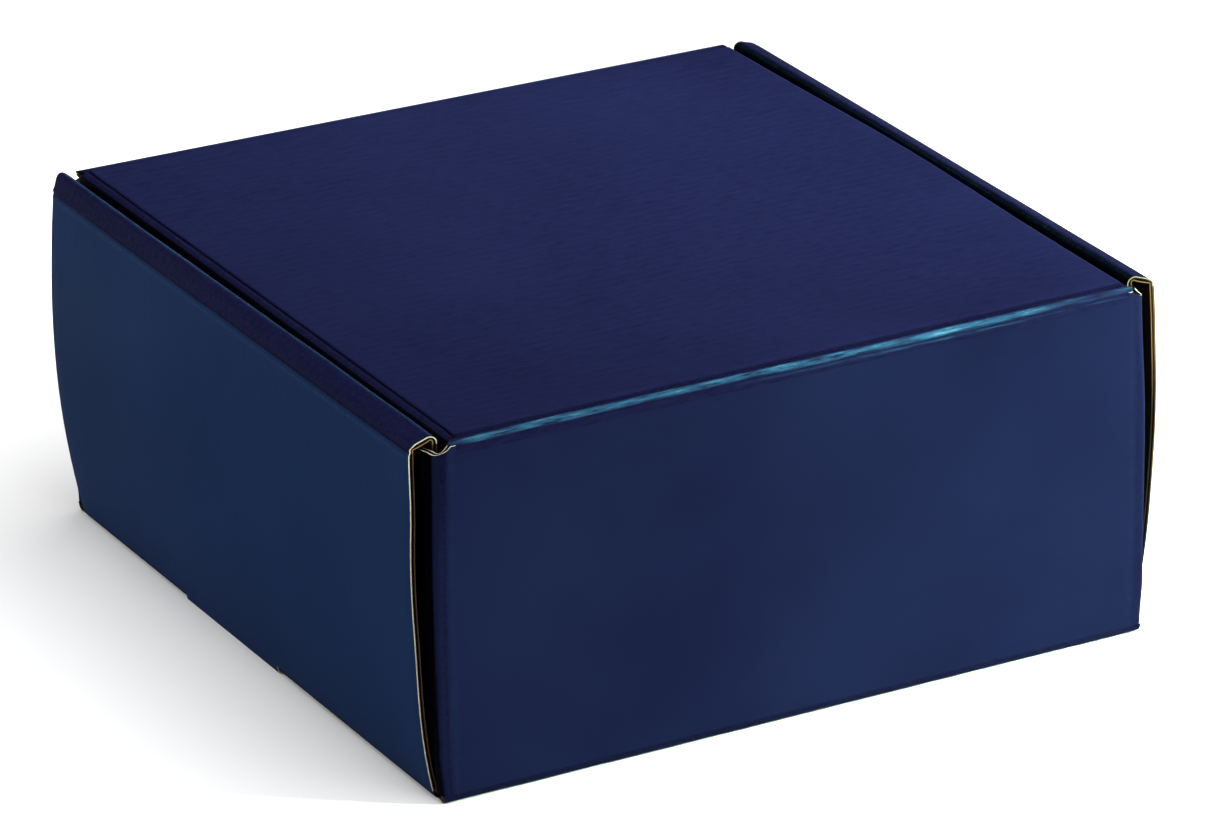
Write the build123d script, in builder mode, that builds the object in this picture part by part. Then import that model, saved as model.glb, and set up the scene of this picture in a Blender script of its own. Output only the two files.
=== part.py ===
"""Roll-end, tuck-top mailer carton folded from one die-cut sheet of E-flute corrugated board.

Millimetres, +Z up, origin at the centre of the base's underside. The hinge wall stands at -Y, the tuck front
at +Y, and the rolled side walls at -X and +X. Each panel of the sheet, and each crease that bends in use, is
a solid of its own.
"""

import os

from build123d import *

os.makedirs("parts", exist_ok=True)

# Driving dimensions
BOARD = 1.6  # E-flute board, liner to liner
WIDTH = 200.0  # hinge wall, between its two corner creases
DEPTH = 206.6  # outside of the hinge wall to outside of the front wall
HEIGHT = 95.0  # top face of the closed lid
LID_INSET = 4.0  # from the hinge wall's corner to the lid's side edge
FLAP_DROP = 45.0  # height of the lid's side flaps
TUCK_DROP = 36.0  # height of the tuck flap
TUCK_LEAN = 6.0  # degrees that the tuck flap leans inwards, so that it clears the front wall as the lid lifts
DUST_FLAP = 50.0  # length of the dust flaps in the side walls' pockets
TAB_WIDTH = 52.0  # lock tab at the foot of each inner side wall
TAB_Y = 11.0  # middle of the lock tabs and of their slots

HALF_W = WIDTH / 2
HALF_D = DEPTH / 2
SIDE_END = HALF_D - 3 * BOARD  # the side walls stop three boards short of the end walls' outer faces
LID_UNDER = HEIGHT - BOARD
WALL_TOP = LID_UNDER - 0.6  # cut top edge of the end walls and dust flaps

# Side wall section, on the +X side: the centre line of the board, from its foot over the roll and down inside
FOOT_X = HALF_W - 0.5
BELLY_X, BELLY_Z = HALF_W + 6.2, 52.0  # the outer wall bows outwards
SHOULDER_X, SHOULDER_Z = HALF_W + 4.4, 92.0
SHOULDER_RISE = 1.0
CREST_X, CREST_Z = HALF_W - 2.4, 98.0  # corner of the roll before it is rounded
INNER_FOOT_X = HALF_W - 3.0
ROLL_RADIUS = 1.2
ROLL_LAP = 2.0  # the roll's section is drawn this far below its ends and then cut level

# Dust flaps: they start above the narrow foot of the side wall's pocket, and lean outwards along their length
FLAP_FOOT = 11.0
FLAP_LEAN = 0.4

# Lid
LID_HALF = HALF_W - LID_INSET - BOARD  # flat part of the lid, between its side creases
HINGE_Y = -HALF_D + BOARD / 2
HINGE_Z = HEIGHT - BOARD / 2
HINGE_GAP = BOARD / 2 + 0.05  # the lid's slab starts this far from the hinge line
LID_REAR = HINGE_Y + HINGE_GAP
FRONT_GAP = 0.4  # between the closed lid and the front wall's inner face
LID_FRONT = HALF_D - BOARD - FRONT_GAP - BOARD  # line where the front crease starts
FLAP_REAR_GAP = 1.2
FLAP_FRONT_GAP = 8.0
FLAP_REAR_TAPER = 6.0
FLAP_CORNER = 7.0
TUCK_SIDE_GAP = 1.0
TUCK_TAPER = 2.0
TUCK_CORNER = 9.0

# Lock tab and its slot, on the base's side crease
SLOT_CLEAR = 1.0
SLOT_LENGTH = TAB_WIDTH + 2 * SLOT_CLEAR
SLOT_INNER = HALF_W - 3.4
TAB_TOP = 6.0
TAB_BOTTOM = 0.3
TAB_SHIFT = 0.8  # the tab leans outwards into the slot
TAB_CORNER = 4.0

# Rounded edges
BASE_EDGE = 1.1
CORNER_EDGE = 1.4
DUST_FLAP_CORNER = 12.0


def section_at(y):
    """Plane for a section in X and Z that is extruded from y towards -Y."""
    return Plane.XZ.offset(-y)


def save(part, name):
    """Label one finished piece and write its file."""
    part.label = name
    export_step(part, f"parts/{name}.step")


def inner_wall_x(z):
    """Centre of the inner side wall at height z. It is straight, and leans outwards to meet the roll."""
    return INNER_FOOT_X + (CREST_X - INNER_FOOT_X) * (z - BOARD) / (CREST_Z - BOARD)


def outer_wall_strip(sign):
    """Section of the bowed outer side wall, from its foot to the roll."""
    with BuildSketch() as strip:
        with BuildLine():
            faces = [
                ThreePointArc(
                    (sign * (FOOT_X + half), BOARD),
                    (sign * (BELLY_X + half), BELLY_Z),
                    (sign * (SHOULDER_X + half), SHOULDER_Z),
                )
                for half in (-BOARD / 2, BOARD / 2)
            ]
            Line(faces[0] @ 0, faces[1] @ 0)
            Line(faces[0] @ 1, faces[1] @ 1)
        make_face()
    return strip.sketch


def roll_strip(sign):
    """Section of the roll: up from the outer wall, over the crest and down into the inner wall."""
    with BuildSketch() as strip:
        with BuildLine() as centre:
            wall = ThreePointArc(
                (sign * FOOT_X, BOARD),
                (sign * BELLY_X, BELLY_Z),
                (sign * SHOULDER_X, SHOULDER_Z),
                mode=Mode.PRIVATE,  # it only gives the roll its place and direction
            )
            FilletPolyline(
                wall @ 1 - (wall % 1) * ROLL_LAP,
                wall @ 1 + (wall % 1) * SHOULDER_RISE,
                (sign * CREST_X, CREST_Z),
                (sign * inner_wall_x(SHOULDER_Z - ROLL_LAP), SHOULDER_Z - ROLL_LAP),
                radius=ROLL_RADIUS,
            )
        trace(centre.line, line_width=BOARD)
        with Locations((0, SHOULDER_Z + ROLL_LAP + BOARD)):
            Rectangle(4 * WIDTH, 2 * (ROLL_LAP + BOARD), mode=Mode.INTERSECT)
    return strip.sketch


# Base -------------------------------------------------------------------------------------------------------
with BuildPart() as base_panel:
    with BuildSketch():
        Rectangle(WIDTH - 2 * BOARD, DEPTH)  # its corners are notched for the side walls
        slot_outer = FOOT_X + BOARD / 2
        Rectangle(2 * slot_outer, 2 * SIDE_END)
        slot_middle = (SLOT_INNER + slot_outer) / 2
        with Locations((slot_middle, TAB_Y), (-slot_middle, TAB_Y)):
            Rectangle(slot_outer - SLOT_INNER, SLOT_LENGTH, mode=Mode.SUBTRACT)
    extrude(amount=BOARD)
    bottom_edges = base_panel.edges().group_by(Axis.Z)[0]
    crease_edges = bottom_edges.filter_by(lambda edge: edge.length > SLOT_LENGTH + SLOT_CLEAR)
    fillet(crease_edges, radius=BASE_EDGE)
save(base_panel.part, "base_panel")

# End walls, their corner creases and dust flaps -------------------------------------------------------------
for end, outside in (("rear", -HALF_D), ("front", HALF_D)):
    inwards = 1 if end == "rear" else -1
    inside = outside + inwards * BOARD
    flap_end = inside + inwards * DUST_FLAP
    wall_middle = outside + inwards * BOARD / 2

    with BuildPart() as end_wall:
        with BuildSketch(Plane.XY.offset(BOARD)):
            with Locations((0, wall_middle)):
                Rectangle(WIDTH - 2 * BOARD, BOARD)
        extrude(amount=WALL_TOP - BOARD)
        if end == "rear":  # the middle of the hinge wall reaches up to the hinge line
            with BuildSketch(Plane.XY.offset(WALL_TOP)):
                with Locations((0, wall_middle)):
                    Rectangle(2 * LID_HALF, BOARD)
            extrude(amount=LID_UNDER - WALL_TOP)
    save(end_wall.part, f"{end}_wall")

    for side, sign in (("left", -1), ("right", 1)):
        with BuildPart() as corner_crease:
            with BuildSketch(Plane.XY.offset(BOARD)):
                with Locations((sign * (HALF_W - BOARD / 2), wall_middle)):
                    Rectangle(BOARD, BOARD)
            extrude(amount=WALL_TOP - BOARD)
            outward_face = 0 if end == "rear" else -1
            bends = corner_crease.edges().filter_by(Axis.Z).group_by(Axis.Y)[outward_face]
            fillet(bends.sort_by(Axis.X)[0 if sign < 0 else -1], radius=CORNER_EDGE)
        save(corner_crease.part, f"{end}_corner_crease_{side}")

        with BuildPart() as dust_flap:
            with BuildSketch(Plane.XY.offset(FLAP_FOOT)):
                with BuildLine():
                    Polyline(
                        (sign * (HALF_W - BOARD), inside),
                        (sign * HALF_W, inside),
                        (sign * (HALF_W + FLAP_LEAN), flap_end),
                        (sign * (HALF_W + FLAP_LEAN - BOARD), flap_end),
                        close=True,
                    )
                make_face()
            extrude(amount=WALL_TOP - FLAP_FOOT)
            free_end = dust_flap.edges().filter_by(Axis.X).group_by(Axis.Y)[-1 if end == "rear" else 0]
            fillet(free_end, radius=DUST_FLAP_CORNER)
        save(dust_flap.part, f"{end}_dust_flap_{side}")

# Side walls: outer wall, roll, inner wall and lock tab ------------------------------------------------------
for side, sign in (("left", -1), ("right", 1)):
    with BuildPart() as outer_wall:
        with BuildSketch(section_at(SIDE_END)):
            add(outer_wall_strip(sign))
        extrude(amount=2 * SIDE_END)
        with BuildSketch(section_at(TAB_Y + TAB_WIDTH / 2)):  # over the slot the wall's cut edge reaches lower
            with Locations((sign * FOOT_X, (TAB_BOTTOM + BOARD) / 2)):
                Rectangle(BOARD, BOARD - TAB_BOTTOM)
        extrude(amount=TAB_WIDTH)
    save(outer_wall.part, f"side_outer_wall_{side}")

    with BuildPart() as roll:
        with BuildSketch(section_at(SIDE_END)):
            add(roll_strip(sign))
        extrude(amount=2 * SIDE_END)
    save(roll.part, f"side_roll_{side}")

    with BuildPart() as inner_wall:
        with BuildSketch(section_at(SIDE_END)):
            with BuildLine():
                Polyline(
                    (sign * (inner_wall_x(BOARD) - BOARD / 2), BOARD),
                    (sign * (inner_wall_x(BOARD) + BOARD / 2), BOARD),
                    (sign * (inner_wall_x(SHOULDER_Z) + BOARD / 2), SHOULDER_Z),
                    (sign * (inner_wall_x(SHOULDER_Z) - BOARD / 2), SHOULDER_Z),
                    close=True,
                )
            make_face()
        extrude(amount=2 * SIDE_END)
        with BuildSketch(section_at(TAB_Y + TAB_WIDTH / 2)):
            with Locations((sign * INNER_FOOT_X, TAB_TOP / 2)):
                Rectangle(4 * BOARD, TAB_TOP)
        extrude(amount=TAB_WIDTH, mode=Mode.SUBTRACT)
    save(inner_wall.part, f"side_inner_wall_{side}")

    with BuildPart() as lock_tab:
        with BuildSketch(section_at(TAB_Y + TAB_WIDTH / 2)):
            tab_face = inner_wall_x(TAB_TOP) - BOARD / 2
            with BuildLine():
                Polyline(
                    (sign * tab_face, TAB_TOP),
                    (sign * (tab_face + BOARD), TAB_TOP),
                    (sign * (tab_face + BOARD + TAB_SHIFT), TAB_BOTTOM),
                    (sign * (tab_face + TAB_SHIFT), TAB_BOTTOM),
                    close=True,
                )
            make_face()
        extrude(amount=TAB_WIDTH)
        fillet(lock_tab.edges().group_by(Axis.Z)[0].filter_by(Axis.X), radius=TAB_CORNER)
    save(lock_tab.part, f"lock_tab_{side}")

# Lid --------------------------------------------------------------------------------------------------------
with BuildPart() as lid_hinge_crease:
    with BuildSketch(Plane.YZ.offset(-LID_HALF)):
        with Locations((HINGE_Y, HINGE_Z)):
            Circle(BOARD / 2)
    extrude(amount=2 * LID_HALF)
save(lid_hinge_crease.part, "lid_hinge_crease")

with BuildPart() as lid_panel:
    with BuildSketch(Plane.XY.offset(LID_UNDER)):
        with Locations((0, (LID_REAR + LID_FRONT) / 2)):
            Rectangle(2 * LID_HALF, LID_FRONT - LID_REAR)
    extrude(amount=BOARD)
save(lid_panel.part, "lid_panel")

with BuildPart() as tuck_crease:
    with BuildSketch(Plane.YZ.offset(-LID_HALF)):
        with Locations((LID_FRONT, LID_UNDER)):
            Circle(BOARD)
            Rectangle(BOARD, BOARD, align=(Align.MIN, Align.MIN), mode=Mode.INTERSECT)
    extrude(amount=2 * LID_HALF)
save(tuck_crease.part, "tuck_crease")

tuck_plane = Plane((0, LID_FRONT, LID_UNDER), x_dir=(1, 0, 0), z_dir=(0, 1, 0)).rotated((-TUCK_LEAN, 0, 0))
with BuildPart() as tuck_flap:
    with BuildSketch(tuck_plane):
        tuck_half = LID_HALF - TUCK_SIDE_GAP
        with BuildLine():
            FilletPolyline(
                (-tuck_half, 0),
                (-tuck_half + TUCK_TAPER, TUCK_DROP),
                (tuck_half - TUCK_TAPER, TUCK_DROP),
                (tuck_half, 0),
                radius=TUCK_CORNER,
            )
            Line((-tuck_half, 0), (tuck_half, 0))
        make_face()
    extrude(amount=BOARD)
save(tuck_flap.part, "tuck_flap")

for side, sign in (("left", -1), ("right", 1)):
    with BuildPart() as side_crease:
        with BuildSketch(section_at(LID_FRONT)):
            with Locations((sign * LID_HALF, LID_UNDER)):
                Circle(BOARD)
                Rectangle(
                    BOARD, BOARD, align=(Align.MIN if sign > 0 else Align.MAX, Align.MIN), mode=Mode.INTERSECT
                )
        extrude(amount=LID_FRONT - LID_REAR)
    save(side_crease.part, f"lid_side_crease_{side}")

    with BuildPart() as side_flap:
        flap_start = LID_HALF if sign > 0 else -LID_HALF - BOARD
        rear = LID_REAR + FLAP_REAR_GAP
        front = LID_FRONT - FLAP_FRONT_GAP
        with BuildSketch(Plane.YZ.offset(flap_start)):
            with BuildLine():
                FilletPolyline(
                    (rear, LID_UNDER),
                    (rear + FLAP_REAR_TAPER, LID_UNDER - FLAP_DROP),
                    (front - FLAP_DROP, LID_UNDER - FLAP_DROP),
                    (front, LID_UNDER),
                    radius=FLAP_CORNER,
                )
                Line((rear, LID_UNDER), (front, LID_UNDER))
            make_face()
        extrude(amount=BOARD)
    save(side_flap.part, f"lid_side_flap_{side}")
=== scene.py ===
"""Looks of a navy roll-end, tuck-top mailer carton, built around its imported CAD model.

Every panel is made as real corrugated board: a printed outer liner, a fluted medium and a kraft inner liner.
A board follows a surface of two parameters, u and v, whose normal (u cross v) points to the printed side.
All sizes are in metres, in the frame of the CAD model.
"""

import math

import bpy
import numpy as np
from mathutils import Matrix, Vector


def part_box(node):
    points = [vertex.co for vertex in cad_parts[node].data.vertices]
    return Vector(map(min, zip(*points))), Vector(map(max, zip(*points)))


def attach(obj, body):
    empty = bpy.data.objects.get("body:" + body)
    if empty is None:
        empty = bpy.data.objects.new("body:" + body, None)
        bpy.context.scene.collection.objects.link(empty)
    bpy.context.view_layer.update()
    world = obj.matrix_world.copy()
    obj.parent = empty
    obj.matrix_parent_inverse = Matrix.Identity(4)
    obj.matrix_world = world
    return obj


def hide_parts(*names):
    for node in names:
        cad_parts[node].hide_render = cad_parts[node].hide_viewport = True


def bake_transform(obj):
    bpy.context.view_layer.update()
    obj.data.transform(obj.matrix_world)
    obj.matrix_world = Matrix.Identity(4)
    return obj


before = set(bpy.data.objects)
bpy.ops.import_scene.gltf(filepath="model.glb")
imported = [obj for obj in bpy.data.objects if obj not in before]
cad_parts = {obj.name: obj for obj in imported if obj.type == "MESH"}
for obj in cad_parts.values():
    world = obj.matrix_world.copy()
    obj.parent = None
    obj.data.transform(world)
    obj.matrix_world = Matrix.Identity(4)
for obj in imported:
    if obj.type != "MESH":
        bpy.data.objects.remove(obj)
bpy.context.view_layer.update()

MM = 0.001
SIDES = (("left", -1), ("right", 1))
ENDS = (("rear", 1), ("front", -1))

# Places read from the CAD model -------------------------------------------------------------------------
_, base_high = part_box("base_panel")
_, corner_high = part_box("rear_corner_crease_right")
hinge_low, hinge_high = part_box("lid_hinge_crease")
tuck_crease_low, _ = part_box("tuck_crease")
tuck_low, tuck_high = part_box("tuck_flap")
flap_low, flap_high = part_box("lid_side_flap_right")
_, outer_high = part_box("side_outer_wall_right")
dust_low, dust_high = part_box("rear_dust_flap_right")
tab_low, tab_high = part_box("lock_tab_right")

BOARD = base_high.z
HALF_W = corner_high.x  # from the middle to the hinge wall's corner
HALF_D = base_high.y
MID_Y = HALF_D - BOARD / 2  # centre of an end wall's board
LID_HALF = hinge_high.x
LID_UNDER = tuck_crease_low.z
LID_MID = LID_UNDER + BOARD / 2
LID_FRONT = tuck_crease_low.y  # where the lid's front crease starts
SIDE_END = outer_high.y
SHOULDER_Z = outer_high.z
WALL_TOP = dust_high.z
HINGE = Vector((0, (hinge_low.y + hinge_high.y) / 2, (hinge_low.z + hinge_high.z) / 2))

# Board
PITCH = 3.4 * MM  # of the flutes
LINER = 0.3 * MM
MEDIUM = 0.16 * MM
WASHBOARD = 0.008 * MM  # height of the flutes' print through the liners of the lid
CALM = 0.3  # share of that height on the walls, which were never pressed
PER_FLUTE = 4  # mesh rows in one flute
LINER_LIMIT = 0.6  # a liner takes up this share of half the thickness at most, where the board is crushed
SHARP_ANGLE = math.radians(40)  # faces that meet at more than this keep a sharp edge
PRINT, KRAFT, PRINT_EDGE, KRAFT_EDGE, FLUTE = range(5)  # material slots of every board

# Side wall section on the +X side, on the board's centre line
FOOT_X = base_high.x - BOARD / 2
BELLY = (HALF_W + 6.2 * MM, 52 * MM)
SHOULDER = (HALF_W + 4.4 * MM, SHOULDER_Z)
SHOULDER_RISE = 1.0 * MM
CREST = (HALF_W - 2.4 * MM, 98.0 * MM)
INNER_FOOT_X = HALF_W - 3.0 * MM
ROLL_RADIUS = 1.2 * MM

# Creases and cuts
BLACK = 1.6  # fold mark where the painted shade is quite black
CREASE_RADIUS = 0.9 * MM  # of a crease's bend, in the middle of the board
CREASE_STEP = 0.3 * MM  # between mesh rows across a crease
FINE_STEP = 0.2 * MM  # the same, across the creases that show most
STRIP = 2.2 * MM  # a crease's strip reaches this far onto the panels beside it
FOOT = BOARD + 0.7 * MM  # where the walls stand on the base's creases
HINGE_REACH = 5.6 * MM  # the hinge crease's strip reaches this far onto the lid
TUCK_LEAN = math.radians(6)
FLAP_MITRE = 1.0  # the lid's side flaps lose this much length at the front for each unit of depth
FLAP_TAPER = 6 * MM
FLAP_CORNER = 7 * MM
TUCK_TAPER = 2 * MM
TUCK_CORNER = 9 * MM
DUST_CORNER = 12 * MM
SLOT_INNER = HALF_W - 3.4 * MM
SLOT_CLEAR = 1 * MM  # at each end of a lock tab
TAB_SHIFT = 0.8 * MM  # a lock tab slants this far outwards, into its slot


# Surfaces and meshes ------------------------------------------------------------------------------------
def vec(x, y, z):
    """One array of points from three arrays or numbers."""
    return np.stack(np.broadcast_arrays(x, y, z), -1).astype(float)


def ease(t):
    """Smooth step from 0 to 1."""
    t = np.clip(t, 0, 1)
    return t * t * (3 - 2 * t)


def ramp(value, start, end):
    """Smooth step from 0 at start to 1 at end, which may be the lower of the two."""
    return ease((value - start) / (end - start))


def inland(margin, *distances):
    """0 at an edge, and 1 where every distance to an edge is over the margin."""
    share = 1
    for distance in distances:
        share = share * ease(distance / margin)
    return share


def hump(distance, width):
    """Bell-shaped bump of height 1."""
    return np.exp(-((distance / width) ** 2))


def wobble(a, b, seed, size):
    """Smooth unevenness between about -1 and 1 over two coordinates, the same each run.

    It adds up four waves, of the given size and smaller, each turned by the golden angle from the last."""
    total = 0
    for k in range(1, 5):
        turn = seed * 1.7 + k * 2.399
        along = math.cos(turn) * a + math.sin(turn) * b
        total = total + np.sin(along * 2 * math.pi / size * k**0.8 + seed * 5.1 + k) / k
    return total / 1.7


def samples(start, end, step):
    """Numbers from start to end, about step apart."""
    return np.linspace(start, end, max(2, round(abs(end - start) / step) + 1))


def joined(*stretches):
    """Numbers over stretches that follow each other: (start, step) of each, and last the end alone."""
    runs = [samples(a[0], b[0], a[1])[:-1] for a, b in zip(stretches, stretches[1:])]
    return np.concatenate(runs + [stretches[-1]])


def fluted(start, end):
    """Numbers from start to end, close enough for the flutes."""
    return samples(start, end, PITCH / PER_FLUTE)


def corner_cut(distance, radius):
    """How far a rounded corner draws the edge in, at a distance from the corner's end."""
    return radius - np.sqrt(np.maximum(radius**2 - np.clip(radius - distance, 0, radius) ** 2, 0))


def arc(start, middle, end, count=48):
    """Points of the circular arc through three points."""
    (ax, ay), (bx, by), (cx, cy) = start, middle, end
    twice = 2 * (ax * (by - cy) + bx * (cy - ay) + cx * (ay - by))
    a2, b2, c2 = ax**2 + ay**2, bx**2 + by**2, cx**2 + cy**2
    centre_x = (a2 * (by - cy) + b2 * (cy - ay) + c2 * (ay - by)) / twice
    centre_y = (a2 * (cx - bx) + b2 * (ax - cx) + c2 * (bx - ax)) / twice
    radius = math.hypot(ax - centre_x, ay - centre_y)
    first = math.atan2(ay - centre_y, ax - centre_x)
    last = math.atan2(cy - centre_y, cx - centre_x)
    turns = np.linspace(first, last, count)
    return [(centre_x + radius * math.cos(t), centre_y + radius * math.sin(t)) for t in turns]


def rounded(corners, radius, count=16):
    """Points of straight runs between corners, with each inner corner rounded."""
    corners = [np.array(c, float) for c in corners]
    points = [corners[0]]
    for before, corner, after in zip(corners, corners[1:], corners[2:]):
        back = (before - corner) / np.linalg.norm(before - corner)
        ahead = (after - corner) / np.linalg.norm(after - corner)
        half = math.acos(np.clip(back @ ahead, -1, 1)) / 2
        centre = corner + (back + ahead) / np.linalg.norm(back + ahead) * radius / math.sin(half)
        spoke = corner + back * radius / math.tan(half) - centre
        sweep = math.copysign(math.pi - 2 * half, -back[0] * ahead[1] + back[1] * ahead[0])
        for turn in np.linspace(0, sweep, count):
            c, s = math.cos(turn), math.sin(turn)
            points.append(centre + (spoke[0] * c - spoke[1] * s, spoke[0] * s + spoke[1] * c))
    return points + [corners[-1]]


class Path:
    """A line through points in a plane, by distance along it."""

    def __init__(self, points):
        points = np.array(points, float)
        steps = np.linalg.norm(np.diff(points, axis=0), axis=1)
        self.points = points[np.concatenate([[True], steps > 1e-7])]
        steps = np.linalg.norm(np.diff(self.points, axis=0), axis=1)
        self.distance = np.concatenate([[0], np.cumsum(steps)])
        self.length = self.distance[-1]

    def at(self, s):
        """Both coordinates at distance s. The line goes straight on beyond its ends."""
        under, over = np.minimum(s, 0), np.maximum(s - self.length, 0)
        found = []
        for k in (0, 1):
            column = self.points[:, k]
            first = (column[1] - column[0]) / self.distance[1]
            last = (column[-1] - column[-2]) / (self.distance[-1] - self.distance[-2])
            found.append(np.interp(s, self.distance, column) + under * first + over * last)
        return found


class Pile:
    """Points and faces of one piece, gathered shell by shell."""

    def __init__(self, washboard=WASHBOARD):
        self.washboard = washboard
        self.points, self.quads, self.slots = [], [], []
        # Marks on the print: worn print that also paints highlights, painted shade at folds, and the flutes'
        # ridges
        self.marks = {"wear_and_highlight": [], "fold": [], "ridge": []}
        self.count = 0

    def shell(self, top, bottom, slots, seams=(), wear_and_highlight=0.0, fold=0.0, ridge=0.0):
        """A closed shell between two grids of points. slots are the materials of its top, bottom and rim.

        seams are the sides, numbered v start, u end, v end and u start, that meet another board of the same
        sheet: they are dark print, because nothing is cut there."""
        rows, cols = top.shape[:2]
        drop = rows * cols
        index = self.count + np.arange(drop).reshape(rows, cols)
        self.points += [top.reshape(-1, 3), bottom.reshape(-1, 3)]
        for name, value in (("wear_and_highlight", wear_and_highlight), ("fold", fold), ("ridge", ridge)):
            self.marks[name] += [np.broadcast_to(value, (rows, cols)).ravel()] * 2
        self.count += 2 * drop

        def squares(grid):
            return np.stack([grid[:-1, :-1], grid[1:, :-1], grid[1:, 1:], grid[:-1, 1:]], -1).reshape(-1, 4)

        sides = [index[:-1, 0], index[-1, :-1], index[:0:-1, -1], index[0, :0:-1]]
        loop = np.concatenate(sides)
        ahead = np.roll(loop, -1)
        rim = np.stack([ahead, loop, loop + drop, ahead + drop], -1)
        self.quads += [squares(index), squares(index + drop)[:, ::-1], rim]
        self.slots += [np.full((rows - 1) * (cols - 1), slot) for slot in slots[:2]]
        self.slots += [np.full(len(side), PRINT if k in seams else slots[2]) for k, side in enumerate(sides)]

    def board(self, surface, u, v, flutes, crush=1.0, wear_and_highlight=0.0, fold=0.0, relief=0.0, seams=()):
        """Corrugated board that follows a surface over the samples u and v.

        flutes gives the distance across the flutes at (u, v), crush the share of its thickness that the
        board keeps there, relief an extra height of its printed liner, wear where its print is worn or a
        highlight is painted on, and fold where it is darkened by painted shade. seams are as in shell."""
        U, V = np.meshgrid(u, v, indexing="ij")
        at = surface(U, V)
        step = 0.1 * MM
        along_u = surface(U + step, V) - surface(U - step, V)
        along_v = surface(U, V + step) - surface(U, V - step)
        normal = np.cross(along_u, along_v)
        normal /= np.linalg.norm(normal, axis=-1, keepdims=True)

        def value(given):
            return (given(U, V) if callable(given) else np.full(U.shape, given))[..., None]

        crushed = value(crush)
        wave = np.cos(2 * math.pi / PITCH * value(flutes))
        half = BOARD / 2 * crushed
        liner = np.minimum(LINER, half * LINER_LIMIT)
        pressed = value(relief)
        room = np.maximum(half - liner - MEDIUM / 2, 0)
        fluting = np.minimum(room * wave, np.maximum(room + pressed, -room))
        print_through = self.washboard * wave * crushed
        self.shell(
            at + normal * (half + print_through + pressed),
            at + normal * (half - liner + pressed),
            (PRINT, KRAFT, PRINT_EDGE),
            seams,
            value(wear_and_highlight)[..., 0],
            value(fold)[..., 0],
            wave[..., 0],
        )
        self.shell(at + normal * (fluting + MEDIUM / 2), at + normal * (fluting - MEDIUM / 2), (FLUTE,) * 3)
        self.shell(
            at - normal * (half - liner),
            at - normal * (half - print_through),
            (KRAFT, KRAFT, KRAFT_EDGE),
            seams,
        )

    def mesh(self, name, mirrored):
        """The shells as a Blender mesh. Its points keep their place at rest, so that the print moves with
        the board."""
        points = np.concatenate(self.points) * ((-1, 1, 1) if mirrored else (1, 1, 1))
        quads = np.concatenate(self.quads)[:, :: -1 if mirrored else 1]
        mesh = bpy.data.meshes.new(name)
        mesh.vertices.add(len(points))
        mesh.vertices.foreach_set("co", points.ravel())
        mesh.loops.add(quads.size)
        mesh.loops.foreach_set("vertex_index", quads.astype(np.int32).ravel())
        mesh.polygons.add(len(quads))
        mesh.polygons.foreach_set("loop_start", np.arange(0, quads.size, 4, dtype=np.int32))
        mesh.polygons.foreach_set("material_index", np.concatenate(self.slots).astype(np.int32))
        mesh.update(calc_edges=True)
        mesh.validate()
        mesh.polygons.foreach_set("use_smooth", [True] * len(mesh.polygons))
        mesh.set_sharp_from_angle(angle=SHARP_ANGLE)
        mesh.attributes.new("rest", "FLOAT_VECTOR", "POINT").data.foreach_set("vector", points.ravel())
        for mark, values in self.marks.items():
            mesh.attributes.new(mark, "FLOAT", "POINT").data.foreach_set("value", np.concatenate(values))
        return mesh


def turned(surface):
    """The same surface at the other end of the carton."""
    return lambda u, v: surface(u, v) * (-1, -1, 1)


# Materials ----------------------------------------------------------------------------------------------
def add_node(tree, kind, inputs=(), **settings):
    """A new shader node. inputs are (socket name or number, value or socket) pairs."""
    made = tree.nodes.new(kind)
    for key, value in settings.items():
        setattr(made, key, value)
    for key, value in inputs:
        if isinstance(value, bpy.types.NodeSocket):
            tree.links.new(value, made.inputs[key])
        else:
            made.inputs[key].default_value = value
    return made


def new_material(name):
    """A node material with its Principled shader: (material, tree, shader, coordinates at rest)."""
    material = bpy.data.materials.new(name)
    material.use_nodes = True
    tree = material.node_tree
    tree.nodes.clear()
    shader = add_node(tree, "ShaderNodeBsdfPrincipled")
    add_node(tree, "ShaderNodeOutputMaterial", [("Surface", shader.outputs[0])])
    place = add_node(tree, "ShaderNodeAttribute", attribute_name="rest").outputs["Vector"]
    return material, tree, shader, place


def noise(tree, place, scale, detail=3.0, roughness=0.55):
    """Value of a noise texture, about 0.3 to 0.7. scale is a number, or one for each axis."""
    if isinstance(scale, tuple):
        place = add_node(tree, "ShaderNodeMapping", [("Vector", place), ("Scale", scale)]).outputs[0]
        scale = 1.0
    inputs = [("Vector", place), ("Scale", scale), ("Detail", detail), ("Roughness", roughness)]
    return add_node(tree, "ShaderNodeTexNoise", inputs).outputs["Fac"]


def remap(tree, value, low, high, to_low=0.0, to_high=1.0):
    """value mapped from low..high to to_low..to_high, held between them."""
    inputs = [(0, value), (1, low), (2, high), (3, to_low), (4, to_high)]
    return add_node(tree, "ShaderNodeMapRange", inputs).outputs[0]


def calculate(tree, operation, a, b):
    return add_node(tree, "ShaderNodeMath", [(0, a), (1, b)], operation=operation).outputs[0]


def mix(tree, share, a, b):
    """Colour between a and b."""
    return add_node(tree, "ShaderNodeMix", [(0, share), (6, a), (7, b)], data_type="RGBA").outputs[2]


def bump(tree, height, distance, strength=1.0, over=None):
    inputs = [("Height", height), ("Distance", distance), ("Strength", strength)]
    if over is not None:
        inputs.append(("Normal", over))
    return add_node(tree, "ShaderNodeBump", inputs).outputs[0]


def mark(tree, name):
    """Value of one of the marks stored on a board's points."""
    return add_node(tree, "ShaderNodeAttribute", attribute_name=name).outputs["Fac"]


def rgb(red, green, blue):
    """Linear colour of three sRGB numbers from 0 to 255."""
    linear = [((c / 255 + 0.055) / 1.055) ** 2.4 if c > 10 else c / 3295 for c in (red, green, blue)]
    return (*linear, 1)


# Painted shade: the mottled dark of folds, and the black of scores, pockets and edges turned away from the
# light
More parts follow.
